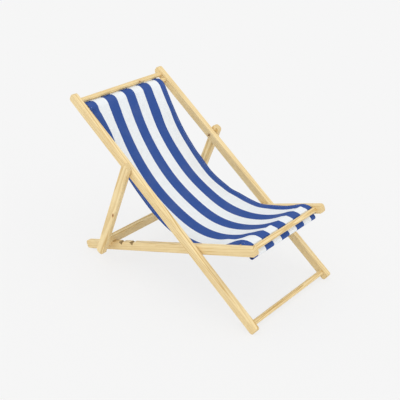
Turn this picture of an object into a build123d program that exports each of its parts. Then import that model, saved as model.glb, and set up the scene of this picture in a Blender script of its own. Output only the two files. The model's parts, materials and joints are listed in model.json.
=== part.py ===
from build123d import *
import os
from math import acos, asin, atan2, cos, degrees, hypot, radians, sin, sqrt

os.makedirs("parts", exist_ok=True)

# A folding wooden beach chair with a striped cloth sling. Two long back rails run from the top down to
# the front feet, two seat rails cross inside them and run from the front edge down to the floor behind,
# and a prop frame outside them drops a flat bar into one of three notches in the seat rails.
#
# Millimetres and degrees. The chair faces -Y, +Z is up and X runs across; left and right are as seen
# from the front. Each frame is drawn in the side plane, where the seat pivot is the zero point, and the
# finished chair is then moved so that the origin lies on the floor under the middle of its box.

# Wood stock
rail_thickness = 26.0
rail_depth = 38.0
rail_end_radius = 14.0
foot_end_radius = 10.0
strut_end_radius = 15.0
edge_chamfer = 2.5
bar_corner_radius = 3.0
dowel_diameter = 22.0
tenon_diameter = 15.0
tenon_length = 16.0

# Clearances
member_gap = 2.0
face_clearance = 0.3
running_clearance = 0.05
glue_clearance = 0.1

# Back frame, measured along the rail from the seat pivot
back_width = 530.0
back_angle = 36.5
back_foot_length = 391.0
back_top_length = 822.0
foot_trim = 6.0
foot_bar_inset = 32.0
top_bar_inset = 35.0
top_bar_spacing = 35.0

# Seat frame, measured along the rail from the seat pivot
seat_front_length = 300.0
seat_rear_length = 702.0
rear_trim = 6.0
front_bar_inset = 35.0
front_bar_spacing = 43.0
front_sling_bar_diameter = 30.0
front_sling_bar_raise = 8.0
notch_depth = 14.0
notch_pitch = 70.0
notch_count = 3

# Prop frame, measured along the strut from the prop pivot
prop_pivot_distance = 419.0
prop_angle = 67.7
prop_top_length = 37.0
prop_tail_length = 34.0
prop_bar_thickness = 22.0
prop_bar_depth = 51.0
prop_tenon_shoulder = 5.0

# Pivot hardware
bolt_diameter = 6.0
bolt_head_diameter = 10.0
bolt_head_height = 3.6
bolt_crown_diameter = 7.0
bolt_rim_height = 1.4
bolt_socket_width = 4.0
bolt_socket_depth = 2.0
washer_diameter = 11.0
washer_thickness = 1.6
spacer_diameter = 24.0
insert_diameter = 10.0
insert_length = 17.0

# Cloth sling and the loose dowels in its hems
sling_thickness = 1.5
sling_side_clearance = 5.0
hem_dowel_diameter = 16.0
hem_dowel_inset = 10.0
top_roll_radius = 35.0
top_roll_contact = 60.0
crest_radius = 76.0
crest_contact = 14.0
fold_radius = 4.0
front_pocket_drop = 31.0
front_pocket_seam = 18.0
sag_top_angle = 67.5
sag_middle_angle = 22.0
sag_front_angle = 33.5
sag_upper_radius = 668.0
sag_lower_radius = 360.0

# Layers across the chair, from the middle outwards
back_outer = back_width / 2
back_inner = back_outer - rail_thickness
seat_outer = back_inner - member_gap
seat_inner = seat_outer - rail_thickness
prop_inner = back_outer + member_gap
prop_outer = prop_inner + rail_thickness
sling_half_width = seat_inner - sling_side_clearance


def heading(angle):
    return Vector(cos(radians(angle)), sin(radians(angle)))


# The feet and the rear ends are planed flat on one floor, which sets the slope of the seat rails.
half_depth = rail_depth / 2
pivot_height = (
    back_foot_length * sin(radians(back_angle)) + half_depth * cos(radians(back_angle)) - foot_trim
)
rear_reach = hypot(seat_rear_length, half_depth)
seat_angle = degrees(
    asin((pivot_height + rear_trim) / rear_reach) - atan2(half_depth, seat_rear_length)
)

# Each frame's own axes in the side plane: x along its rails, y square to them and upwards.
# Back x climbs to the top, seat x runs down to the rear, prop x runs down the strut.
back = Rot(0, 0, back_angle)
seat = Rot(0, 0, -seat_angle)
prop_pivot = (back * Pos(prop_pivot_distance, 0)).position
prop = Pos(prop_pivot.X, prop_pivot.Y) * Rot(0, 0, -prop_angle)

# Places of the crossbars along their rails
top_bar_at = back_top_length - top_bar_inset
top_sling_bar_at = top_bar_at - top_bar_spacing
foot_bar_at = foot_bar_inset - back_foot_length
front_bar_at = front_bar_inset - seat_front_length
front_sling_bar_at = front_bar_at + front_bar_spacing

# The prop bar drops into the rearmost notch until its lower front edge meets the notch's bottom.
# The notch's walls are the bar's own front and lower faces, a clearance away.
seat_up = heading(90 - seat_angle)
prop_down = heading(-prop_angle)
prop_rear = heading(90 - prop_angle)
bar_to_wall = prop_bar_thickness / 2 + face_clearance
notch_bottom = half_depth - notch_depth
notch_reach = (
    notch_bottom - prop_pivot.dot(seat_up) + bar_to_wall * prop_rear.dot(seat_up)
) / prop_down.dot(seat_up)
bar_reach = notch_reach - face_clearance
strut_end = bar_reach + prop_tail_length


def across(sketch, x_from, x_to):
    """Solid that spans x_from to x_to, with the sketch as its outline in the side plane."""
    return Pos(x_from, 0, 0) * extrude(Plane.YZ * sketch, x_to - x_from)


def disc(frame, along, off, diameter):
    return frame * Pos(along, off) * Circle(diameter / 2)


def rail(frame, start, end, start_radius, end_radius, x_from):
    """Rail of the common stock with round-cornered ends and chamfered edges."""
    outline = Rectangle(end - start, rail_depth)
    outline = fillet(outline.vertices().group_by(Axis.X)[0], start_radius)
    outline = fillet(outline.vertices().group_by(Axis.X)[-1], end_radius)
    outline = frame * Pos((start + end) / 2, 0) * outline
    blank = across(outline, x_from, x_from + rail_thickness)
    sides = blank.faces().filter_by(Axis.X)
    return chamfer(sides.edges(), edge_chamfer)


def socket(frame, along, off, x_from):
    """Blind hole for the tenon of a crossbar, drilled outwards from a rail's inner face."""
    hole = disc(frame, along, off, tenon_diameter + 2 * glue_clearance)
    return across(hole, x_from, x_from + tenon_length + glue_clearance)


def crossbar(frame, along, off, diameter, half_span):
    """Round bar between two rails, turned down to a tenon at each end."""
    body = across(disc(frame, along, off, diameter), -half_span, half_span)
    tenon_end = half_span + tenon_length
    return body + across(disc(frame, along, off, tenon_diameter), -tenon_end, tenon_end)


def insert_hole(place, x_from):
    hole = disc(place, 0, 0, insert_diameter + 2 * glue_clearance)
    return across(hole, x_from, x_from + insert_length + glue_clearance)


def bolt_hole(place, x_from):
    hole = disc(place, 0, 0, bolt_diameter + 2 * running_clearance)
    return across(hole, x_from, x_from + rail_thickness)


def floor_block():
    """Everything below the floor, for planing the rails' ends flat on it."""
    span = 2 * (back_top_length + seat_rear_length)
    block = Box(2 * prop_outer, span, rail_depth, align=(Align.CENTER, Align.CENTER, Align.MAX))
    return Pos(0, 0, -pivot_height) * block


def back_rail():
    shape = rail(back, -back_foot_length, back_top_length, foot_end_radius, rail_end_radius, back_inner)
    for along in (top_bar_at, top_sling_bar_at, foot_bar_at):
        shape -= socket(back, along, 0, back_inner)
    shape -= insert_hole(Pos(0, 0), back_inner)
    shape -= bolt_hole(prop, back_inner)
    return shape - floor_block()


def seat_rail():
    shape = rail(seat, -seat_front_length, seat_rear_length, rail_end_radius, foot_end_radius, seat_inner)
    shape -= socket(seat, front_bar_at, 0, seat_inner)
    shape -= socket(seat, front_sling_bar_at, front_sling_bar_raise, seat_inner)
    shape -= bolt_hole(Pos(0, 0), seat_inner)
    for step in range(notch_count):
        shape -= notch(step)
    return shape - floor_block()


def notch(step):
    """V notch across a seat rail, stepped forward along the rail from the rearmost one."""
    size = rail_depth
    corner_square = Rectangle(size, size, align=(Align.MAX, Align.MIN))
    forward = heading(180 - seat_angle) * (notch_pitch * step)
    cut = Pos(forward.X, forward.Y) * prop * Pos(notch_reach, -bar_to_wall) * corner_square
    return across(cut, seat_inner, seat_outer)


def prop_strut():
    shape = rail(prop, -prop_top_length, strut_end, strut_end_radius, strut_end_radius, prop_inner)
    shape -= insert_hole(prop, prop_inner)
    mortise = prop_bar_section(glue_clearance - prop_tenon_shoulder)
    return shape - across(mortise, prop_inner, prop_inner + tenon_length + glue_clearance)


def prop_bar_section(grow):
    """The prop bar's section in its place, larger by grow on every side."""
    length = prop_bar_depth + 2 * grow
    width = prop_bar_thickness + 2 * grow
    return prop * Pos(bar_reach - prop_bar_depth / 2, 0) * RectangleRounded(length, width, bar_corner_radius)


def prop_bar():
    tenon_end = prop_inner + tenon_length
    body = across(prop_bar_section(0), -prop_inner, prop_inner)
    return body + across(prop_bar_section(-prop_tenon_shoulder), -tenon_end, tenon_end)


def pivot_bolt(place, x_head, x_tip):
    """Bolt with a bevelled head and a hexagon socket. Its head bears towards +X at x_head."""
    rim = bolt_head_diameter / 2
    crown = bolt_crown_diameter / 2
    half_section = Polyline(
        (0, 0), (rim, 0), (rim, bolt_rim_height), (crown, bolt_head_height), (0, bolt_head_height), close=True
    )
    head = Rot(0, -90, 0) * revolve(Plane.XZ * make_face(half_section), Axis.Z)
    hexagon = RegularPolygon(bolt_socket_width / 2, 6, major_radius=False)
    head -= across(hexagon, -bolt_head_height, bolt_socket_depth - bolt_head_height)
    centre = place.position
    head = Pos(x_head, centre.X, centre.Y) * head
    return head + across(disc(place, 0, 0, bolt_diameter), x_head, x_tip)


def ring(place, outer_diameter, hole_diameter, x_from, x_to):
    return across(disc(place, 0, 0, outer_diameter) - disc(place, 0, 0, hole_diameter), x_from, x_to)


def pivot_set(place, head_face, spacer_from, anchor_face):
    """Bolt, washer, spacer and threaded insert of one pivot on the right side. The bolt passes from
    head_face, the inner face of the turning rail, into the insert behind anchor_face."""
    washer_from = head_face - face_clearance - washer_thickness
    hole = bolt_diameter + 2 * running_clearance
    return {
        "bolt": pivot_bolt(place, washer_from, anchor_face + insert_length),
        "washer": ring(place, washer_diameter, hole, washer_from, head_face - face_clearance),
        "spacer": ring(place, spacer_diameter, hole, spacer_from, anchor_face),
        "insert": ring(place, insert_diameter, hole, anchor_face, anchor_face + insert_length),
    }


# Sling sizes shared by its two ends
half_cloth = sling_thickness / 2
pocket_inner = hem_dowel_diameter / 2 + face_clearance
pocket_middle = pocket_inner + half_cloth
pocket_outer = pocket_inner + sling_thickness
cloth_on_dowel = dowel_diameter / 2 + face_clearance + half_cloth
cloth_on_front_bar = front_sling_bar_diameter / 2 + face_clearance + half_cloth

# The top pocket is drawn up under the slot between the two top bars until it meets both.
top_pocket_at = top_bar_at - top_bar_spacing / 2
pocket_to_bar = dowel_diameter / 2 + face_clearance + pocket_outer
top_pocket_off = -sqrt(pocket_to_bar ** 2 - (top_bar_spacing / 2) ** 2)

# The front pocket hangs slack below the front crossbar, from cloth that lies against the bar's rear side.
front_drop_at = front_bar_at + cloth_on_dowel
front_pocket_off = -front_pocket_drop

# Stiff canvas rolls over each sling bar in a wider curve than the bar's own and bears on it at one line.
top_sling_bar_centre = (back * Pos(top_sling_bar_at, 0)).position
top_roll_arm = top_roll_radius - cloth_on_dowel
top_roll_centre = top_sling_bar_centre - heading(back_angle + top_roll_contact) * top_roll_arm
front_sling_bar_centre = (seat * Pos(front_sling_bar_at, front_sling_bar_raise)).position
crest_arm = crest_radius - cloth_on_front_bar
crest_centre = front_sling_bar_centre - heading(90 - seat_angle + crest_contact) * crest_arm


def sag_leads(start, end):
    """Lengths of the straight leads at the top and front of the hanging curve, whose two arcs are fixed."""
    upper_turn = heading(sag_top_angle + 90) - heading(sag_middle_angle + 90)
    lower_turn = heading(sag_middle_angle + 90) - heading(90 - sag_front_angle)
    rest = end - start - upper_turn * sag_upper_radius - lower_turn * sag_lower_radius
    top_way = heading(180 + sag_top_angle)
    front_way = heading(180 - sag_front_angle)
    scale = top_way.cross(front_way).Z
    return rest.cross(front_way).Z / scale, top_way.cross(rest).Z / scale


def top_roll():
    """Arc over the top sling bar, from the pocket's wall to the start of the hanging curve."""
    to_pocket = (back * Pos(top_pocket_at, top_pocket_off)).position - top_roll_centre
    reach = to_pocket.length
    rise = acos((top_roll_radius ** 2 + reach ** 2 - pocket_middle ** 2) / (2 * top_roll_radius * reach))
    start = degrees(atan2(to_pocket.Y, to_pocket.X) + rise)
    return CenterArc(top_roll_centre, top_roll_radius, start, 90 + sag_top_angle - start)


def sag():
    """Two leads and two arcs that hang between the rolls over the sling bars."""
    start = top_roll_centre + heading(90 + sag_top_angle) * top_roll_radius
    end = crest_centre + heading(90 - sag_front_angle) * crest_radius
    top_lead, front_lead = sag_leads(start, end)
    upper_start = start + heading(180 + sag_top_angle) * top_lead
    upper_centre = upper_start + heading(90 + sag_top_angle) * sag_upper_radius
    upper_end = upper_centre - heading(90 + sag_middle_angle) * sag_upper_radius
    lower_centre = upper_end + heading(90 + sag_middle_angle) * sag_lower_radius
    lower_end = end - heading(180 - sag_front_angle) * front_lead
    upper_turn = sag_middle_angle - sag_top_angle
    lower_turn = -sag_front_angle - sag_middle_angle
    return [
        Line(start, upper_start),
        CenterArc(upper_centre, sag_upper_radius, sag_top_angle - 90, upper_turn),
        CenterArc(lower_centre, sag_lower_radius, sag_middle_angle - 90, lower_turn),
        Line(lower_end, end),
    ]


def front_roll():
    """Crest over the front sling bar, a tight fold behind the front crossbar and the drop to the pocket."""
    seat_forward = heading(180 - seat_angle)
    to_drop = (seat * Pos(front_drop_at, 0)).position - crest_centre
    fold_arm = crest_radius - fold_radius
    fold_lean = degrees(asin((to_drop.dot(seat_forward) - fold_radius) / fold_arm))
    fold_from = 90 - seat_angle + fold_lean
    fold_centre = crest_centre + heading(fold_from) * fold_arm
    drop_start = fold_centre + seat_forward * fold_radius
    drop_end = (seat * Pos(front_drop_at, front_pocket_off + front_pocket_seam)).position
    return [
        CenterArc(crest_centre, crest_radius, 90 - sag_front_angle, fold_from + sag_front_angle - 90),
        CenterArc(fold_centre, fold_radius, fold_from, 90 - fold_lean),
        Line(drop_start, drop_end),
    ]


def sling_path():
    """Middle line of the cloth, from the top pocket over both sling bars to the front pocket's seam."""
    return Wire([curve.edge() for curve in [top_roll(), *sag(), *front_roll()]])


def pocket(frame, along, off):
    return disc(frame, along, off, 2 * pocket_outer) - disc(frame, along, off, 2 * pocket_inner)


def hanging_pocket():
    """Slack front pocket: the hem runs from its seam on the cloth round the dowel and back."""
    seam_off = front_pocket_off + front_pocket_seam
    seam_bore = sling_thickness / 4
    outlines = []
    for round_dowel, round_seam in ((pocket_outer, seam_bore + sling_thickness), (pocket_inner, seam_bore)):
        dowel_circle = disc(seat, front_drop_at, front_pocket_off, 2 * round_dowel)
        seam_circle = disc(seat, front_drop_at, seam_off, 2 * round_seam)
        outlines.append(make_hull(dowel_circle.edges() + seam_circle.edges()))
    return outlines[0] - outlines[1]


def sling():
    outline = offset(sling_path(), half_cloth, kind=Kind.ARC, side=Side.BOTH)
    band = make_face(outline.edges())
    profile = band + pocket(back, top_pocket_at, top_pocket_off) + hanging_pocket()
    return across(profile, -sling_half_width, sling_half_width)


def hem_dowel(frame, along, off):
    half_length = sling_half_width - hem_dowel_inset
    return across(disc(frame, along, off, hem_dowel_diameter), -half_length, half_length)


# Every piece under its own name
nodes = {
    "top_crossbar": crossbar(back, top_bar_at, 0, dowel_diameter, back_inner),
    "top_sling_bar": crossbar(back, top_sling_bar_at, 0, dowel_diameter, back_inner),
    "foot_stretcher": crossbar(back, foot_bar_at, 0, dowel_diameter, back_inner),
    "front_crossbar": crossbar(seat, front_bar_at, 0, dowel_diameter, seat_inner),
    "front_sling_bar": crossbar(
        seat, front_sling_bar_at, front_sling_bar_raise, front_sling_bar_diameter, seat_inner
    ),
    "prop_bar": prop_bar(),
    "sling": sling(),
    "top_hem_dowel": hem_dowel(back, top_pocket_at, top_pocket_off),
    "front_hem_dowel": hem_dowel(seat, front_drop_at, front_pocket_off),
}

right_side = {"back_rail": back_rail(), "seat_rail": seat_rail(), "prop_strut": prop_strut()}
seat_hardware = pivot_set(Pos(0, 0), seat_inner, seat_outer + face_clearance, back_inner)
prop_hardware = pivot_set(prop, back_inner, back_outer + face_clearance, prop_inner)
right_side.update({f"seat_pivot_{kind}": shape for kind, shape in seat_hardware.items()})
right_side.update({f"prop_pivot_{kind}": shape for kind, shape in prop_hardware.items()})
for name, shape in right_side.items():
    nodes[f"{name}_right"] = shape
    nodes[f"{name}_left"] = mirror(shape, about=Plane.YZ)

# The origin goes to the floor under the middle of the chair's box.
box = Compound(list(nodes.values())).bounding_box()
to_origin = Pos(0, -box.center().Y, pivot_height)
for name, shape in nodes.items():
    export_step(to_origin * shape, f"parts/{name}.step")

print("size", [round(v, 2) for v in box.size], "seat angle", round(seat_angle, 3))
print("seat pivot", [round(v, 3) for v in to_origin.position])
prop_place = to_origin * Pos(0, prop_pivot.X, prop_pivot.Y)
print("prop pivot", [round(v, 3) for v in prop_place.position])
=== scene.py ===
import json
import math
from collections import namedtuple

import bmesh
import bpy
from mathutils import Matrix, Vector, noise


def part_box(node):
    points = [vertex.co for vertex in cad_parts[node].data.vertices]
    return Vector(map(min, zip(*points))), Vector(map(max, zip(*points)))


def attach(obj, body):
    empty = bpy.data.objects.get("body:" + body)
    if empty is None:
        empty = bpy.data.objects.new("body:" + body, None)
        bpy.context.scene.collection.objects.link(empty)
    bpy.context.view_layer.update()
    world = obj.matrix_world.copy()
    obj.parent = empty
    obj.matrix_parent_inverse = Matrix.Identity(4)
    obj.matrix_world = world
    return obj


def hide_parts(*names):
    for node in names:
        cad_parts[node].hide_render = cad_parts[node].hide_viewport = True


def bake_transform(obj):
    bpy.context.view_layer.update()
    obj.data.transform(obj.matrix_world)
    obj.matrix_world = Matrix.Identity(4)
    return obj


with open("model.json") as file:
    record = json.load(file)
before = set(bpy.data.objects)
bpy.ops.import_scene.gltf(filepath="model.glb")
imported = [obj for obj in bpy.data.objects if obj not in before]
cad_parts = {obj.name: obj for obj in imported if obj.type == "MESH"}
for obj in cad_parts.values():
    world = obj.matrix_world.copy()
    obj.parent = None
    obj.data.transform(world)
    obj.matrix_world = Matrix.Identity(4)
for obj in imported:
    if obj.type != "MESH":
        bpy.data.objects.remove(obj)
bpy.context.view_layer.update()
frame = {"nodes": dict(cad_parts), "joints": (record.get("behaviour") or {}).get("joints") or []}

scene = bpy.context.scene
nodes = frame["nodes"]
joint_at = {joint["name"]: Vector(joint["pos_m"]) for joint in frame["joints"]}
seat_pivot = joint_at["seat_fold"]
prop_pivot = joint_at["prop_swing"]


# Places read from the frame, in metres and degrees. A 2-D point lies in the chair's side plane: its x is the
# chair's Y, and its y the chair's Z.

def middle(node):
    low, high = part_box(node)
    return (low + high) / 2


def half_height(node):
    low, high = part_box(node)
    return (high.z - low.z) / 2


def side(point):
    return Vector((point.y, point.z))


def heading(degrees):
    return Vector((math.cos(math.radians(degrees)), math.sin(math.radians(degrees))))


def lean_of(way):
    return math.degrees(math.atan2(way.y, way.x))


top_crossbar = side(middle("top_crossbar"))
top_bar = side(middle("top_sling_bar"))
top_dowel = side(middle("top_hem_dowel"))
front_crossbar = side(middle("front_crossbar"))
front_bar = side(middle("front_sling_bar"))
front_dowel = side(middle("front_hem_dowel"))
prop_bar = side(middle("prop_bar"))
back_lean = lean_of(top_crossbar - top_bar)
seat_lean = lean_of(side(seat_pivot) - front_crossbar)
prop_lean = lean_of(prop_bar - side(prop_pivot))
seat_up = heading(90 + seat_lean)
seat_forward = heading(180 + seat_lean)

# The cut of the cloth
sling_low, sling_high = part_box("sling")
near_edge = sling_low.x
cloth_width = sling_high.x - sling_low.x
cloth_thickness = 0.0012
edge_stripe = 0.029
full_stripes = 7
stripe_width = (cloth_width - 2 * edge_stripe) / full_stripes
hem_width = 0.011
hem_seam = 0.0075  # from the edge to the stitching
hem_ramp = 0.001   # over which the hem thins to single cloth
hem_lap = 0.006
hem_step = 0.0014  # between the two layers at the front pocket's seam

# Its line in the side plane: round the top dowel, over the top bar in a wide roll, down to the seat, over
# the front bar in a wider crest, down behind the front crossbar, and round the front dowel.
cloth_clear = 0.00105  # from a bar's face to the middle of the cloth
pocket_radius = half_height("front_hem_dowel") + cloth_clear
front_bar_reach = half_height("front_sling_bar") + cloth_clear
top_hem_gap = 10    # the angle at which the top hem stops short of the cloth that it is sewn to
roll_radius = 0.035
roll_contact = 60   # from the back's lean to where the cloth touches the top bar
crest_radius = 0.076
crest_contact = 14  # from the seat's square to where it touches the front bar
fold_radius = 0.004
front_seam_rise = 0.018
roll_inset = roll_radius - half_height("top_sling_bar") - cloth_clear
roll_centre = top_bar - heading(back_lean + roll_contact) * roll_inset
crest_centre = front_bar - heading(90 + seat_lean + crest_contact) * (crest_radius - front_bar_reach)

# How the cloth hangs towards each side: its slopes at the top, the middle and the front, and the radii of
# its upper and its lower sag.
Hang = namedtuple("Hang", "top mid front upper lower")
near_hang = Hang(top=71, mid=19, front=39.5, upper=0.662, lower=0.316)
far_hang = Hang(top=64.5, mid=19, front=32.5, upper=0.620, lower=0.403)

# Rows of the cloth on each stretch of its line
top_pocket_rows = 30
roll_rows = 18
lead_rows = 3
upper_sag_rows = 30
lower_sag_rows = 36
crest_rows = 20
fold_rows = 8
drop_rows = 6
pocket_side_rows = 5
front_pocket_rows = 24
lap_rows = 3

# Where it stands off that line: place across (0 near, 1 far) and its spread, place along the free run
# (0 where it leaves the roll, 1 where it meets the crest) and its spread, and the rise towards the sitter.
swells = [
    # The far edge, tauter than the middle
    (1.00, 0.13, 0.16, 0.15, 0.0125),
    (1.00, 0.13, 0.53, 0.10, 0.0110),
    (1.00, 0.08, 0.78, 0.12, 0.0080),
    (0.88, 0.14, 0.05, 0.04, 0.0070),
    (0.91, 0.06, 0.365, 0.055, -0.0042),
    (1.00, 0.04, 0.285, 0.035, 0.0040),
    # The near edge, whose top corner slips down behind the rail
    (0.00, 0.10, 0.27, 0.10, 0.0130),
    (0.00, 0.06, 0.19, 0.05, 0.0050),
    (0.00, 0.05, 0.02, 0.06, -0.0140),
    (0.06, 0.09, 0.10, 0.05, 0.0130),
    (0.05, 0.05, 0.055, 0.03, 0.0055),
    # The front, where it is mostly drawn down behind the bar, deepest at its near corner
    (0.17, 0.10, 0.81, 0.05, 0.0050),
    (0.50, 0.30, 1.00, 0.13, -0.0065),
    (0.44, 0.09, 1.03, 0.10, -0.0050),
    (0.29, 0.08, 0.91, 0.05, 0.0035),
    (0.91, 0.07, 1.00, 0.14, -0.0085),
    (0.00, 0.045, 1.04, 0.09, -0.0240),
    (0.07, 0.05, 0.93, 0.07, 0.0060),
    (0.08, 0.04, 1.05, 0.07, 0.0040),
]

# How far it is drawn out sideways: at the top towards the near rail, most at its corner, and at the front
# towards both rails, a little less at the pocket. Pairs are where along the run such a change starts and ends.
top_flare = 0.012
top_flare_power = 2.5
corner_flare = 0.015
corner_spread = 0.05
top_flare_goes = (-0.02, 0.12)
front_flare = 0.0043
front_flare_comes = (0.8, 0.95)
pocket_loss = 0.3
pocket_loss_comes = (1.2, 1.42)

# The near edge droops over the end of the front bar. The place is given as in the swells.
bar_end = (0.0, 0.005, 1.165, 0.025)
bar_end_flare = 0.0035
bar_end_drop = 0.0035

# Ripples of the free run, broad ones all over and others near the edges: rates across and along, and a seed
ripple_height = 0.0022
ripple_rate = 7  # per metre
ripple_fade = 0.7
broad_ripple = (0.6, 1.0, 3.1)
edge_ripple = (0.5, 2.6, 8.7)
edge_ripple_power = 4


def arc(centre, radius, start, turn, steps):
    return [centre + heading(start + turn * k / steps) * radius for k in range(1, steps + 1)]


def straight(start, end, steps):
    return [start.lerp(end, k / steps) for k in range(1, steps + 1)]


def top_line(hang):
    """The hem round the top dowel, up to where the cloth leaves it, and the roll over the top bar."""
    to_dowel = top_dowel - roll_centre
    reach = to_dowel.length
    rise = math.acos((roll_radius ** 2 + reach ** 2 - pocket_radius ** 2) / (2 * roll_radius * reach))
    roll_start = lean_of(to_dowel) + math.degrees(rise)
    leaves = roll_centre + heading(roll_start) * roll_radius
    hem_start = lean_of(leaves - top_dowel) + top_hem_gap
    line = arc(top_dowel, pocket_radius, hem_start, 360 - top_hem_gap, top_pocket_rows)
    line += arc(roll_centre, roll_radius, roll_start, 90 + hang.top - roll_start, roll_rows)
    return line


def sag_line(hang):
    """The cloth between the roll and the crest: two arcs, with a lead at each end that is as long as it must
    be for them to meet."""
    top, mid, front, upper, lower = hang
    start = roll_centre + heading(90 + top) * roll_radius
    end = crest_centre + heading(90 - front) * crest_radius
    rest = end - start
    rest -= (heading(top + 90) - heading(mid + 90)) * upper
    rest -= (heading(mid + 90) - heading(90 - front)) * lower
    way_in = heading(180 + top)
    way_out = heading(180 - front)
    cross = way_in.x * way_out.y - way_in.y * way_out.x
    lead_in = (rest.x * way_out.y - rest.y * way_out.x) / cross
    lead_out = (way_in.x * rest.y - way_in.y * rest.x) / cross
    bend = start + way_in * lead_in
    upper_centre = bend + heading(90 + top) * upper
    upper_end = upper_centre - heading(90 + mid) * upper
    lower_centre = upper_end + heading(90 + mid) * lower
    line = straight(start, bend, lead_rows)
    line += arc(upper_centre, upper, top - 90, mid - top, upper_sag_rows)
    line += arc(lower_centre, lower, mid - 90, -front - mid, lower_sag_rows)
    line += straight(end - way_out * lead_out, end, lead_rows)
    return line


def front_line(hang):
    """The crest, the fold behind the crossbar, the drop, and the hem round the front dowel to its lap."""
    to_drop = front_dowel - crest_centre
    lean = math.degrees(math.asin((to_drop.dot(seat_forward) - fold_radius) / (crest_radius - fold_radius)))
    up = 90 + seat_lean
    fold_from = up + lean
    fold_centre = crest_centre + heading(fold_from) * (crest_radius - fold_radius)
    drop_start = fold_centre + seat_forward * fold_radius
    seam = front_dowel + seat_up * front_seam_rise
    spread = 90 - math.degrees(math.asin(pocket_radius / front_seam_rise))
    leaves = front_dowel + heading(up - spread) * pocket_radius
    returns = front_dowel + heading(up + spread) * pocket_radius
    lap = seam + seat_forward * hem_step
    line = arc(crest_centre, crest_radius, 90 - hang.front, fold_from + hang.front - 90, crest_rows)
    line += arc(fold_centre, fold_radius, fold_from, 90 - lean, fold_rows)
    line += straight(drop_start, seam, drop_rows)
    line += straight(seam, leaves, pocket_side_rows)
    line += arc(front_dowel, pocket_radius, up - spread, 2 * spread - 360, front_pocket_rows)
    line += straight(returns, lap, pocket_side_rows)
    line += straight(lap, lap + seat_up * hem_lap, lap_rows)
    return line


def edge_line(hang):
    """The cloth's line towards one side, from the hem at the top to the hem at the front."""
    return top_line(hang) + sag_line(hang) + front_line(hang)


near_line = edge_line(near_hang)
far_line = edge_line(far_hang)
row_count = len(near_line)
free_start = top_pocket_rows + roll_rows
free_end = free_start + 2 * lead_rows + upper_sag_rows + lower_sag_rows
front_seam_row = free_end + crest_rows + fold_rows + drop_rows - 1

# How far each row lies from the top hem, along the middle of the cloth
mean_line = [near.lerp(far, 0.5) for near, far in zip(near_line, far_line)]
row_lengths = [0.0]
for before, after in zip(mean_line, mean_line[1:]):
    row_lengths.append(row_lengths[-1] + (after - before).length)

# The columns of the cloth, in metres from its near edge: close together at the two side hems
hem_columns = [0.0, 0.0012, 0.004, hem_seam, hem_width - hem_ramp, hem_width]
inner_columns = 54
columns = list(hem_columns)
for k in range(1, inner_columns):
    columns.append(hem_width + (cloth_width - 2 * hem_width) * k / inner_columns)
columns += [cloth_width - column for column in reversed(hem_columns)]


def smooth(value, low, high):
    """Smooth step of a value, from 0 at low to 1 at high."""
    share = min(max((value - low) / (high - low), 0), 1)
    return share * share * (3 - 2 * share)


def spot(share, run, across_at, across_spread, along_at, along_spread):
    """1 at one place of the cloth, falling away softly over its spreads."""
    across = (share - across_at) / across_spread
    along = (run - along_at) / along_spread
    return math.exp(-across ** 2 - along ** 2)


def swell_rise(share, run):
    rise = 0.0
    for *place, height in swells:
        rise += height * spot(share, run, *place)
    return rise


def ripple_rise(row, share, run):
    """Ripples of the free run, which fade out at both of its ends."""
    if not 0 < run < 1:
        return 0.0

    def ripple(across_rate, along_rate, seed):
        across = share * cloth_width * ripple_rate * across_rate
        along = row_lengths[row] * ripple_rate * along_rate
        return noise.noise(Vector((across, along, seed))) * ripple_height

    slack = math.sin(math.pi * run) ** ripple_fade
    edge = abs(2 * share - 1) ** edge_ripple_power
    return (ripple(*broad_ripple) + ripple(*edge_ripple) * edge) * slack


def side_flare(share, run):
    """How far a point is drawn out towards the near side."""
    at_top = top_flare * (1 - share) ** top_flare_power
    at_top += corner_flare * math.exp(-(share / corner_spread) ** 2)
    at_top *= 1 - smooth(run, *top_flare_goes)
    at_front = smooth(run, *front_flare_comes) - pocket_loss * smooth(run, *pocket_loss_comes)
    return at_top + front_flare * (1 - 2 * share) * at_front


def line_at(row, share):
    return near_line[row].lerp(far_line[row], share)


def cloth_out(row, share):
    """Square to the cloth's line at a row, towards the sitter."""
    way = line_at(min(row + 1, row_count - 1), share) - line_at(max(row - 1, 0), share)
    return Vector((0, way.y, -way.x)).normalized()


def cloth_point(row, share):
    """Place of a point of the cloth, at a row and a share of the width from its near edge: its line in the
    side plane with its swells and ripples, kept off the front bar and drawn out sideways."""
    run = (row - free_start) / (free_end - free_start)
    at_bar_end = spot(share, run, *bar_end)
    rise = swell_rise(share, run) + ripple_rise(row, share, run) - bar_end_drop * at_bar_end
    point = line_at(row, share) + side(cloth_out(row, share)) * rise
    from_bar = point - front_bar
    reach = front_bar_reach - bar_end_drop * at_bar_end
    if from_bar.length < reach:
        point = front_bar + from_bar.normalized() * reach
    flare = side_flare(share, run) + bar_end_flare * at_bar_end
    return Vector((near_edge + share * cloth_width - flare, point.x, point.y))


# The cloth and its sewing

def made_object(name, shape, material):
    """An object of a bmesh, with smooth faces and one material."""
    for face in shape.faces:
        face.smooth = True
    mesh = bpy.data.meshes.new(name)
    shape.to_mesh(mesh)
    shape.free()
    mesh.materials.append(material)
    piece = bpy.data.objects.new(name, mesh)
    scene.collection.objects.link(piece)
    return piece


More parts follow.
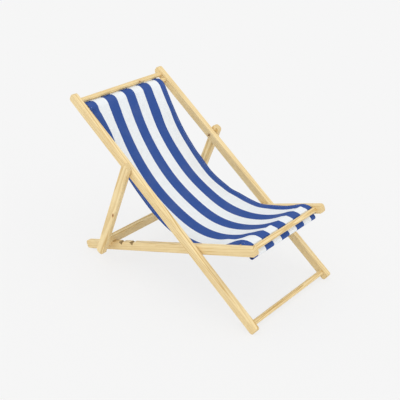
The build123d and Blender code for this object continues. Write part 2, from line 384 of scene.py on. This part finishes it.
def sling_cloth(material):
    """The sling as one sheet with a pocket at each end, and side hems twice as thick as the cloth."""
    cloth = bmesh.new()
    cloth_map = cloth.loops.layers.uv.new("cloth")
    weight = cloth.verts.layers.deform.new()
    last_column = len(columns) - 1
    last_row = row_count - 1
    bmesh.ops.create_grid(cloth, x_segments=last_column, y_segments=last_row, size=1)
    grid_place = {}
    for corner in cloth.verts:
        column = round((corner.co.x + 1) / 2 * last_column)
        row = round((corner.co.y + 1) / 2 * last_row)
        grid_place[corner] = (column, row)
    for face in cloth.faces:
        for loop in face.loops:
            column, row = grid_place[loop.vert]
            loop[cloth_map].uv = (columns[column], row_lengths[row])
    for corner, (column, row) in grid_place.items():
        from_edge = min(columns[column], cloth_width - columns[column])
        in_hem = from_edge < hem_width - hem_ramp / 2
        corner[weight][0] = 1.0 if in_hem else 0.5  # of the wall's thickness
        corner.co = cloth_point(row, columns[column] / cloth_width)
    bmesh.ops.recalc_face_normals(cloth, faces=cloth.faces)
    piece = made_object("sling_cloth", cloth, material)
    piece.vertex_groups.new(name="hem_thickness")
    wall = piece.modifiers.new("cloth_thickness", "SOLIDIFY")
    wall.thickness = 2 * cloth_thickness
    wall.offset = 0
    wall.vertex_group = "hem_thickness"
    return piece


# Stitches: width across the seam, length along it, and height through the cloth
thread_width = 0.0009
seam_stitch = (thread_width, 0.0034, 2 * cloth_thickness + 0.0011)
seam_pitch = 0.0044
seam_margin = 0.004
edge_stitch = (thread_width, 0.0042, 2 * cloth_thickness + 0.0009)
edge_pitch = 0.0058
stitched_before = 0.03  # on the roll, before the free run
stitched_past = 0.05    # over the crest, past the free run
hem_probe = 0.006       # the share of the width to each side that shows which way a hem faces


def add_stitch(threads, place, along, out, size):
    """One stitch through the cloth, seen on both of its faces."""
    across = along.cross(out)
    turn = Matrix((across, along, out)).transposed().to_4x4()
    scale = Matrix.Diagonal((*size, 1))
    bmesh.ops.create_uvsphere(
        threads, u_segments=6, v_segments=4, radius=0.5, matrix=Matrix.Translation(place) @ turn @ scale)


def seam_stitches(name, row, material):
    """A straight row of stitches across the cloth, through the two layers at one of its rows."""
    threads = bmesh.new()
    along = Vector((1, 0, 0))
    for k in range(int((cloth_width - 2 * seam_margin) / seam_pitch)):
        share = (seam_margin + seam_pitch * (k + 0.5)) / cloth_width
        out = cloth_out(row, share)
        between_layers = cloth_point(row, share) + out * (hem_step / 2)
        add_stitch(threads, between_layers, along, out, seam_stitch)
    return made_object(name, threads, material)


def edge_stitches(name, share, material):
    """A row of stitches along one side hem, over the run that shows."""
    threads = bmesh.new()
    first = row_lengths[free_start] - stitched_before
    last = row_lengths[free_end] + stitched_past
    row = 0
    for k in range(int((last - first) / edge_pitch)):
        at = first + edge_pitch * k
        while row_lengths[row + 1] < at:
            row += 1
        part = (at - row_lengths[row]) / (row_lengths[row + 1] - row_lengths[row])
        start = cloth_point(row, share)
        end = cloth_point(row + 1, share)
        along = (end - start).normalized()
        across = cloth_point(row, share + hem_probe) - cloth_point(row, share - hem_probe)
        out = across.cross(along).normalized()
        add_stitch(threads, start.lerp(end, part), along, out, edge_stitch)
    return made_object(name, threads, material)


# Node helpers

def feed(tree, socket, value):
    """Link a socket to another one, or set its value."""
    if isinstance(value, bpy.types.NodeSocket):
        tree.links.new(value, socket)
    else:
        socket.default_value = value


def add(tree, kind, inputs=None, **settings):
    made = tree.nodes.new("ShaderNode" + kind)
    for name, value in settings.items():
        setattr(made, name, value)
    for key, value in (inputs or {}).items():
        feed(tree, made.inputs[key], value)
    return made


def calc(tree, operation, *values, clamp=False):
    return add(tree, "Math", dict(enumerate(values)), operation=operation, use_clamp=clamp).outputs[0]


def times(tree, first, second):
    return calc(tree, "MULTIPLY", first, second)


def weighted(tree, value, weight, plus, clamp=False):
    return calc(tree, "MULTIPLY_ADD", value, weight, plus, clamp=clamp)


def vector_calc(tree, operation, *values, output="Vector"):
    return add(tree, "VectorMath", dict(enumerate(values)), operation=operation).outputs[output]


def split(tree, vector):
    return add(tree, "SeparateXYZ", {0: vector}).outputs


def object_place(tree):
    return add(tree, "TexCoord").outputs["Object"]


def ramp(tree, value, low, high):
    """Smooth step of a value, from 0 at low to 1 at high."""
    return add(tree, "MapRange", {"Value": value, "From Min": low, "From Max": high},
               interpolation_type="SMOOTHSTEP").outputs["Result"]


def cloud(tree, vector, scale, detail=2.0, roughness=0.5):
    return add(tree, "TexNoise", {"Vector": vector, "Scale": scale, "Detail": detail,
                                  "Roughness": roughness}).outputs["Fac"]


def blend_colours(tree, factor, first, second, kind="MIX"):
    """Mix of two colours. Its sockets go by number, because those of other kinds have the same names."""
    return add(tree, "Mix", {0: factor, 6: first, 7: second}, data_type="RGBA", blend_type=kind).outputs[2]


def bump(tree, height, strength, distance):
    return add(tree, "Bump", {"Height": height, "Strength": strength, "Distance": distance}).outputs[0]


def new_group(name, inputs, outputs):
    """An empty node group with sockets of those kinds, the sockets of its input node, and a function that
    fills its outputs."""
    tree = bpy.data.node_groups.new(name, "ShaderNodeTree")
    for in_out, sockets in (("INPUT", inputs), ("OUTPUT", outputs)):
        for label, kind in sockets.items():
            tree.interface.new_socket(name=label, in_out=in_out, socket_type="NodeSocket" + kind)
    source = tree.nodes.new("NodeGroupInput")
    target = tree.nodes.new("NodeGroupOutput")

    def put_out(**results):
        for label, socket in results.items():
            tree.links.new(socket, target.inputs[label])

    return tree, source.outputs, put_out


def use_group(tree, group, inputs):
    return add(tree, "Group", inputs, node_tree=group).outputs


def new_material(name):
    material = bpy.data.materials.new(name)
    material.use_nodes = True
    tree = material.node_tree
    tree.nodes.clear()
    shader = add(tree, "BsdfPrincipled")
    output = add(tree, "OutputMaterial", {"Surface": shader.outputs[0]})
    output.is_active_output = True
    return material, tree, shader


def set_inputs(tree, shader, **values):
    for name, value in values.items():
        feed(tree, shader.inputs[name.replace("_", " ")], value)


# Colours

def linear(red, green, blue):
    """A colour as read off a screen, 0 to 255, as linear RGBA."""
    def channel(value):
        value /= 255
        return value / 12.92 if value <= 0.04045 else ((value + 0.055) / 1.055) ** 2.4
    return (channel(red), channel(green), channel(blue), 1)


early_wood = linear(243, 221, 171)
late_wood = linear(200, 164, 97)
handled_wood = linear(210, 168, 110)
knot_halo = linear(196, 142, 84)
knot_core = linear(128, 78, 42)
# end grain colour, which in the notches is also painted shade
end_grain_and_notch_shade = linear(138, 108, 60)
white_canvas = linear(238, 242, 245)
blue_canvas = linear(56, 86, 154)
worn_canvas = linear(196, 196, 190)
bronze_plate = linear(166, 134, 98)
bronze_spangle = linear(190, 158, 120)
worn_bronze = linear(112, 86, 60)
clean_nylon = linear(232, 228, 212)
soiled_nylon = linear(206, 198, 176)
thread_shade = linear(214, 216, 216)
thread_light = linear(240, 240, 236)
floor_sheet = linear(236, 236, 236)
backdrop_shade = linear(246, 246, 246)
white_light = (1.0, 1.0, 1.0, 1)


# Shared effects

rail_half_width = 0.013
rail_half_depth = 0.019
corner_room = 0.003  # kept off the sum of the two, for the rounded edges
cut_depth = 0.0004   # below a rail's faces, where a cut face starts to darken
full_cut_depth = 0.0010
smallest_knot = 0.0001


def along_grain(tree, vector, share):
    """A place with only a share of its length along the grain, which draws a pattern out that way."""
    return vector_calc(tree, "MULTIPLY", vector, (1, share, 1))


def distance_from(tree, place, centre, share):
    """How far a place lies from a centre, with only a share of the way along the grain counted."""
    way = vector_calc(tree, "SUBTRACT", place, centre)
    return vector_calc(tree, "LENGTH", along_grain(tree, way, share), output="Value")


def grain_group():
    """Sawn pine with its grain along Y: growth rings about a heart, fibre streaks, resin flecks and one
    knot. Cut Faces darkens what lies inside a rail's section: end grain at its ends, and end grain with
    painted shade in its notches."""
    tree, given, put_out = new_group(
        "pine_grain",
        {"Vector": "Vector", "Heart": "Vector", "Ring Width": "Float", "Knot": "Vector",
         "Knot Radius": "Float", "Early Wood": "Color", "Late Wood": "Color", "Cut Faces": "Float"},
        {"Color": "Color", "Roughness": "Float", "Height": "Float"})
    here = given["Vector"]

    # Growth rings, which sway, taper with the tree and pass round the knot
    radius = distance_from(tree, here, given["Heart"], share=0)
    wander = cloud(tree, along_grain(tree, here, share=0.16), scale=14)
    sway = weighted(tree, wander, weight=0.016, plus=-0.008)
    taper = times(tree, split(tree, here)["Y"], 0.018)
    knot_reach = distance_from(tree, here, given["Knot"], share=0.5)
    knot_size = calc(tree, "MAXIMUM", given["Knot Radius"], smallest_knot)
    knot_share = calc(tree, "DIVIDE", knot_reach, knot_size)
    knot_push = times(tree, given["Knot Radius"], 2.2)
    pull = calc(tree, "DIVIDE", knot_push, weighted(tree, knot_share, knot_share, plus=1.0))
    ringed = calc(tree, "ADD", calc(tree, "ADD", radius, sway), calc(tree, "ADD", taper, pull))
    turns = calc(tree, "DIVIDE", ringed, given["Ring Width"])
    part = calc(tree, "FRACT", turns)
    ring_number = calc(tree, "FLOOR", turns)
    year = add(tree, "TexWhiteNoise", {"W": ring_number}, noise_dimensions="1D").outputs["Value"]
    late = times(tree, ramp(tree, part, low=0.25, high=0.82), ramp(tree, part, low=1.0, high=0.9))
    late = times(tree, late, weighted(tree, year, weight=0.6, plus=0.4))

    # Streaks in three sizes, and the tone from early to late wood
    fibre = cloud(tree, along_grain(tree, here, share=0.03), scale=620, detail=3)
    broad = cloud(tree, along_grain(tree, here, share=0.25), scale=28)
    resin = cloud(tree, along_grain(tree, here, share=0.06), scale=260, detail=1)
    fleck = ramp(tree, resin, low=0.66, high=0.76)
    tone = weighted(tree, late, weight=0.85, plus=weighted(tree, fibre, weight=0.6, plus=-0.26))
    tone = calc(tree, "ADD", tone, weighted(tree, broad, weight=0.6, plus=-0.28))
    tone = weighted(tree, fleck, weight=0.22, plus=tone, clamp=True)
    wood = blend_colours(tree, tone, given["Early Wood"], given["Late Wood"])

    # The knot's halo and its ringed core
    halo = times(tree, ramp(tree, knot_share, low=2.4, high=0.9), 0.55)
    wood = blend_colours(tree, halo, wood, knot_halo)
    core = ramp(tree, knot_share, low=1.05, high=0.75)
    core_rings = weighted(tree, calc(tree, "SINE", times(tree, knot_share, 24)), weight=0.1, plus=0.85)
    wood = blend_colours(tree, times(tree, core, core_rings), wood, knot_core)

    # Cut faces, which lie below all the faces of the rail: end grain, and in the notches painted shade as well
    section = split(tree, vector_calc(tree, "ABSOLUTE", here))
    in_width = ramp(tree, section["X"], rail_half_width - cut_depth, rail_half_width - full_cut_depth)
    in_depth = ramp(tree, section["Z"], rail_half_depth - cut_depth, rail_half_depth - full_cut_depth)
    corner = rail_half_width + rail_half_depth - corner_room
    in_corner = ramp(tree, calc(tree, "ADD", section["X"], section["Z"]), corner,
                     corner - (full_cut_depth - cut_depth))
    cut = times(tree, times(tree, times(tree, in_width, in_depth), in_corner), given["Cut Faces"])
    wood = blend_colours(tree, cut, wood, end_grain_and_notch_shade)

    rough = weighted(tree, fibre, weight=0.14, plus=weighted(tree, late, weight=-0.1, plus=0.5))
    height = weighted(tree, late, weight=0.7, plus=times(tree, fibre, 0.5))
    put_out(Color=wood, Roughness=rough, Height=height)
    return tree


def weave_group():
    """Plain woven canvas: threads across and along at one pitch, uneven in thickness and colour, with painted
    shade in the hollows between them.
    """
    tree, given, put_out = new_group(
        "canvas_weave", {"Vector": "Vector", "Pitch": "Float"}, {"Height": "Float", "Shade": "Float"})
    place = split(tree, given["Vector"])
    rate = calc(tree, "DIVIDE", math.pi, given["Pitch"])
    warp = calc(tree, "SINE", times(tree, place["X"], rate))
    weft = calc(tree, "SINE", times(tree, place["Y"], rate))
    height = weighted(tree, times(tree, warp, weft), weight=0.5, plus=0.5)
    warp_slub = cloud(tree, vector_calc(tree, "MULTIPLY", given["Vector"], (1, 0.02, 1)), scale=900)
    weft_slub = cloud(tree, vector_calc(tree, "MULTIPLY", given["Vector"], (0.02, 1, 1)), scale=900)
    slub = weighted(tree, warp_slub, weight=0.5, plus=times(tree, weft_slub, 0.5))
    mottle = cloud(tree, given["Vector"], scale=38, detail=3, roughness=0.6)
    # painted shade: darker where the weave is low, between the threads
    shade = weighted(tree, height, weight=0.10, plus=0.88)
    shade = calc(tree, "ADD", shade, weighted(tree, slub, weight=0.24, plus=-0.12))
    shade = calc(tree, "ADD", shade, weighted(tree, mottle, weight=0.08, plus=-0.04))
    put_out(Height=height, Shade=shade)
    return tree


def wear_group():
    """Scuffs and handling marks: soft blotches and fine scratches as masks."""
    tree, given, put_out = new_group("light_wear", {"Vector": "Vector", "Scale": "Float"},
                                     {"Blotch": "Float", "Scratch": "Float"})
    patches = cloud(tree, given["Vector"], given["Scale"], detail=4, roughness=0.6)
    blotch = ramp(tree, patches, low=0.42, high=0.68)
    drawn_out = vector_calc(tree, "MULTIPLY", given["Vector"], (1, 0.12, 0.6))
    lines = cloud(tree, drawn_out, times(tree, given["Scale"], 9), detail=1)
    scratch = ramp(tree, lines, low=0.62, high=0.7)
    put_out(Blotch=blotch, Scratch=scratch)
    return tree


grain = grain_group()
weave = weave_group()
wear = wear_group()


# Finishes

def give(node, material):
    mesh = nodes[node].data
    mesh.materials.clear()
    mesh.materials.append(material)


fine_rings = 0.0045
wide_rings = 0.007
no_knot = (0, 9, 0)
rail_end_darkness = 0.12
# how dark the notches are painted: their end grain, and painted shade in them
notch_grain_and_shade = 0.7
notch_zone_edge = 0.002


def oiled_pine(node, turn, heart, axis_at=None, ring_width=fine_rings, knot=no_knot, knot_radius=0.0,
               notched=None):
    """Gives one member its oiled pine. turn takes the grain to the member's length, and heart is where the
    tree's middle lies from the member's own axis. axis_at is a point on the axis of a rail, and notched the
    reach along it from that point in which notches show their dark end grain, with painted shade over it."""
    material, tree, shader = new_material("pine_" + node)
    centre = middle(node)
    cut_darkness = 0.0
    if axis_at is not None:
        centre = Vector((centre.x, axis_at.y, axis_at.z))
        cut_darkness = rail_end_darkness
    place = add(tree, "Mapping", {"Vector": object_place(tree), "Location": centre, "Rotation": turn},
                vector_type="TEXTURE").outputs[0]
    if notched:
        first, last = notched
        along = split(tree, place)["Y"]
        zone = times(tree, ramp(tree, along, first - notch_zone_edge, first),
                     ramp(tree, along, last + notch_zone_edge, last))
        # in the notch zone the cut faces get end grain and painted shade
        cut_darkness = weighted(tree, zone, notch_grain_and_shade, cut_darkness)
    wood = use_group(tree, grain, {
        "Vector": place, "Heart": heart, "Ring Width": ring_width, "Knot": knot, "Knot Radius": knot_radius,
        "Early Wood": early_wood, "Late Wood": late_wood, "Cut Faces": cut_darkness})
    marks = use_group(tree, wear, {"Vector": place, "Scale": 22.0})
    colour = blend_colours(tree, times(tree, marks["Blotch"], 0.08), wood["Color"], handled_wood)
    rough = weighted(tree, marks["Scratch"], weight=0.08, plus=wood["Roughness"])
    relief = bump(tree, wood["Height"], strength=0.15, distance=0.0003)
    set_inputs(tree, shader, Base_Color=colour, Roughness=rough, Specular_IOR_Level=0.3, Normal=relief)
    give(node, material)


def striped_canvas():
    """Blue and white stripes along the cloth, with a blue one of its own width at each edge."""
    material, tree, shader = new_material("striped_canvas")
    cloth_map = add(tree, "UVMap", uv_map="cloth").outputs[0]
    woven = use_group(tree, weave, {"Vector": cloth_map, "Pitch": 0.0009})
    fray = weighted(tree, cloud(tree, cloth_map, scale=700, detail=1), weight=0.001, plus=-0.0005)
    across = calc(tree, "ADD", split(tree, cloth_map)["X"], fray)
    stripes = calc(tree, "DIVIDE", calc(tree, "SUBTRACT", across, edge_stripe), stripe_width)
    is_blue = calc(tree, "GREATER_THAN", calc(tree, "FLOORED_MODULO", stripes, 2.0), 1.0)
    dyed = blend_colours(tree, is_blue, white_canvas, blue_canvas)
    marks = use_group(tree, wear, {"Vector": cloth_map, "Scale": 9.0})
    worn = blend_colours(tree, times(tree, marks["Blotch"], 0.03), dyed, worn_canvas)
    # the weave's tone, with its painted shade between the threads
    shade = add(tree, "CombineColor", {0: woven["Shade"], 1: woven["Shade"], 2: woven["Shade"]}).outputs[0]
    colour = blend_colours(tree, 1.0, worn, shade, "MULTIPLY")
    rough = weighted(tree, woven["Height"], weight=-0.1, plus=0.92)
    relief = bump(tree, woven["Height"], strength=0.3, distance=0.0003)
    set_inputs(tree, shader, Base_Color=colour, Roughness=rough, Specular_IOR_Level=0.1, Normal=relief)
    return material


def bronzed_steel():
    material, tree, shader = new_material("bronzed_steel")
    place = object_place(tree)
    marks = use_group(tree, wear, {"Vector": place, "Scale": 160.0})
    spangle = cloud(tree, place, scale=420, detail=3, roughness=0.6)
    plate = blend_colours(tree, spangle, bronze_plate, bronze_spangle)
    colour = blend_colours(tree, times(tree, marks["Blotch"], 0.4), plate, worn_bronze)
    scratched = weighted(tree, marks["Scratch"], weight=0.12, plus=0.26)
    rough = weighted(tree, spangle, weight=0.16, plus=scratched)
    relief = bump(tree, spangle, strength=0.12, distance=0.0002)
    set_inputs(tree, shader, Base_Color=colour, Roughness=rough, Metallic=1.0, Normal=relief)
    return material


def moulded_nylon():
    material, tree, shader = new_material("natural_nylon")
    place = object_place(tree)
    marks = use_group(tree, wear, {"Vector": place, "Scale": 90.0})
    speckle = cloud(tree, place, scale=900)
    colour = blend_colours(tree, times(tree, marks["Blotch"], 0.35), clean_nylon, soiled_nylon)
    rough = weighted(tree, speckle, weight=0.2, plus=0.38)
    relief = bump(tree, speckle, strength=0.1, distance=0.0002)
    set_inputs(tree, shader, Base_Color=colour, Roughness=rough, Normal=relief)
    return material


def cotton_thread():
    material, tree, shader = new_material("cotton_thread")
    twist = cloud(tree, object_place(tree), scale=1800)
    colour = blend_colours(tree, twist, thread_shade, thread_light)
    rough = weighted(tree, twist, weight=0.1, plus=0.82)
    relief = bump(tree, twist, strength=0.4, distance=0.0003)
    set_inputs(tree, shader, Base_Color=colour, Roughness=rough, Sheen_Weight=0.2, Normal=relief)
    return material


# The CAD pieces: each member is sawn from its own place in the tree
back_turn = (math.radians(back_lean), 0, 0)
seat_turn = (math.radians(seat_lean), 0, 0)
prop_turn = (math.radians(prop_lean), 0, 0)
across_turn = (0, 0, math.radians(-90))
notches_ahead = 0.19  # from the prop bar's notch, the rearmost one, to ahead of the foremost
notches_behind = 0.03
last_notch = (prop_bar - side(seat_pivot)).dot(-seat_forward)
notches = (last_notch - notches_ahead, last_notch + notches_behind)
strut_knot = (-0.013, 0.230, -0.013)
crossbar_knot = (0.009, 0.099, 0.002)

oiled_pine("back_rail_left", back_turn, (0.034, 0, -0.062), seat_pivot)
oiled_pine("back_rail_right", back_turn, (-0.046, 0, -0.058), seat_pivot)
oiled_pine("seat_rail_left", seat_turn, (0.030, 0, -0.070), seat_pivot, notched=notches)
oiled_pine("seat_rail_right", seat_turn, (-0.055, 0, -0.050), seat_pivot, notched=notches)
oiled_pine("prop_strut_left", prop_turn, (0.070, 0, 0.022), prop_pivot, wide_rings,
           knot=strut_knot, knot_radius=0.0035)
oiled_pine("prop_strut_right", prop_turn, (-0.064, 0, -0.025), prop_pivot, wide_rings)
oiled_pine("top_crossbar", across_turn, (0.020, 0, -0.012), knot=crossbar_knot, knot_radius=0.003)
bar_hearts = {
    "top_sling_bar": (-0.016, 0, 0.014),
    "foot_stretcher": (0.012, 0, 0.020),
    "front_crossbar": (-0.020, 0, -0.016),
    "front_sling_bar": (0.025, 0, 0.010),
    "prop_bar": (0.030, 0, 0.045),
    "top_hem_dowel": (0.011, 0, 0.009),
    "front_hem_dowel": (-0.010, 0, 0.012),
}
for bar, heart in bar_hearts.items():
    oiled_pine(bar, across_turn, heart)

bronze = bronzed_steel()
nylon = moulded_nylon()
for node in nodes:
    if "_pivot_" in node:
        give(node, nylon if "spacer" in node else bronze)

# The sling, which runs from the back frame to the seat frame
canvas = striped_canvas()
thread = cotton_thread()
hem_share = hem_seam / cloth_width
sling = sling_cloth(canvas)
pocket_seam = seam_stitches("front_pocket_stitching", front_seam_row, thread)
edge_seams = [
    edge_stitches("near_edge_stitching", hem_share, thread),
    edge_stitches("far_edge_stitching", 1 - hem_share, thread),
]
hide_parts("sling")
for piece in [sling, *edge_seams]:
    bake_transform(piece)
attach(pocket_seam, "seat_frame")


# Floor, light and camera

floor_reach = 40
floor_own_colour = 0.8  # how much of the floor's look is its own colour, free of shadow
key_way = (-0.42, -0.60, 0.68)
key_narrowness = 2.0
key_strength = 0.37
room_strength = 0.97
camera_lens = 66.65
camera_sensor = 36
camera_reach = 200
camera_from_pivot = Vector((-2.1118, -1.6423, 1.4993))
aim_from_pivot = Vector((-0.21272, 0, 0.21112))


def seen_rays(tree):
    """1 for the rays that see the backdrop: the camera's own, and those that gloss and glass send on."""
    path = add(tree, "LightPath").outputs
    sent_on = calc(tree, "MAXIMUM", path["Is Glossy Ray"], path["Is Transmission Ray"])
    return calc(tree, "MAXIMUM", path["Is Camera Ray"], sent_on)


def floor_material():
    """Pale sheet that shows mostly its own colour, with only a part of the shadow on it."""
    material, tree, shader = new_material("pale_floor")
    set_inputs(tree, shader, Base_Color=floor_sheet, Roughness=0.9, Specular_IOR_Level=0.0)
    glow = add(tree, "Emission", {"Color": backdrop_shade, "Strength": 1.0}).outputs[0]
    seen = times(tree, seen_rays(tree), floor_own_colour)
    mixed = add(tree, "MixShader", {0: seen, 1: shader.outputs[0], 2: glow}).outputs[0]
    tree.links.new(mixed, tree.nodes["Material Output"].inputs["Surface"])
    return material


def lay_floor():
    ground = bmesh.new()
    bmesh.ops.create_grid(ground, x_segments=1, y_segments=1, size=floor_reach)
    floor = made_object("floor", ground, floor_material())


def studio_world():
    """An evenly lit room with one wide soft light, which the camera sees as a plain backdrop."""
    world = bpy.data.worlds.new("studio")
    world.use_nodes = True
    tree = world.node_tree
    tree.nodes.clear()
    way = add(tree, "TexCoord").outputs["Generated"]
    towards_key = vector_calc(tree, "DOT_PRODUCT", way, Vector(key_way).normalized(), output="Value")
    glow = calc(tree, "POWER", calc(tree, "MAXIMUM", towards_key, 0.0), key_narrowness)
    strength = weighted(tree, glow, key_strength, room_strength)
    room = add(tree, "Background", {"Color": white_light, "Strength": strength}).outputs[0]
    backdrop = add(tree, "Background", {"Color": backdrop_shade, "Strength": 1.0}).outputs[0]
    mixed = add(tree, "MixShader", {0: seen_rays(tree), 1: room, 2: backdrop}).outputs[0]
    add(tree, "OutputWorld", {"Surface": mixed})
    scene.world = world


def set_camera():
    camera = bpy.data.cameras.new("camera")
    camera.sensor_width = camera_sensor
    camera.lens = camera_lens
    camera.clip_end = camera_reach
    eye = bpy.data.objects.new("camera", camera)
    place = seat_pivot + camera_from_pivot
    aim = seat_pivot + aim_from_pivot
    eye.location = place
    eye.rotation_mode = "QUATERNION"
    eye.rotation_quaternion = (aim - place).to_track_quat("-Z", "Y")
    scene.collection.objects.link(eye)
    scene.camera = eye


lay_floor()
studio_world()
set_camera()
scene.view_settings.view_transform = "Standard"
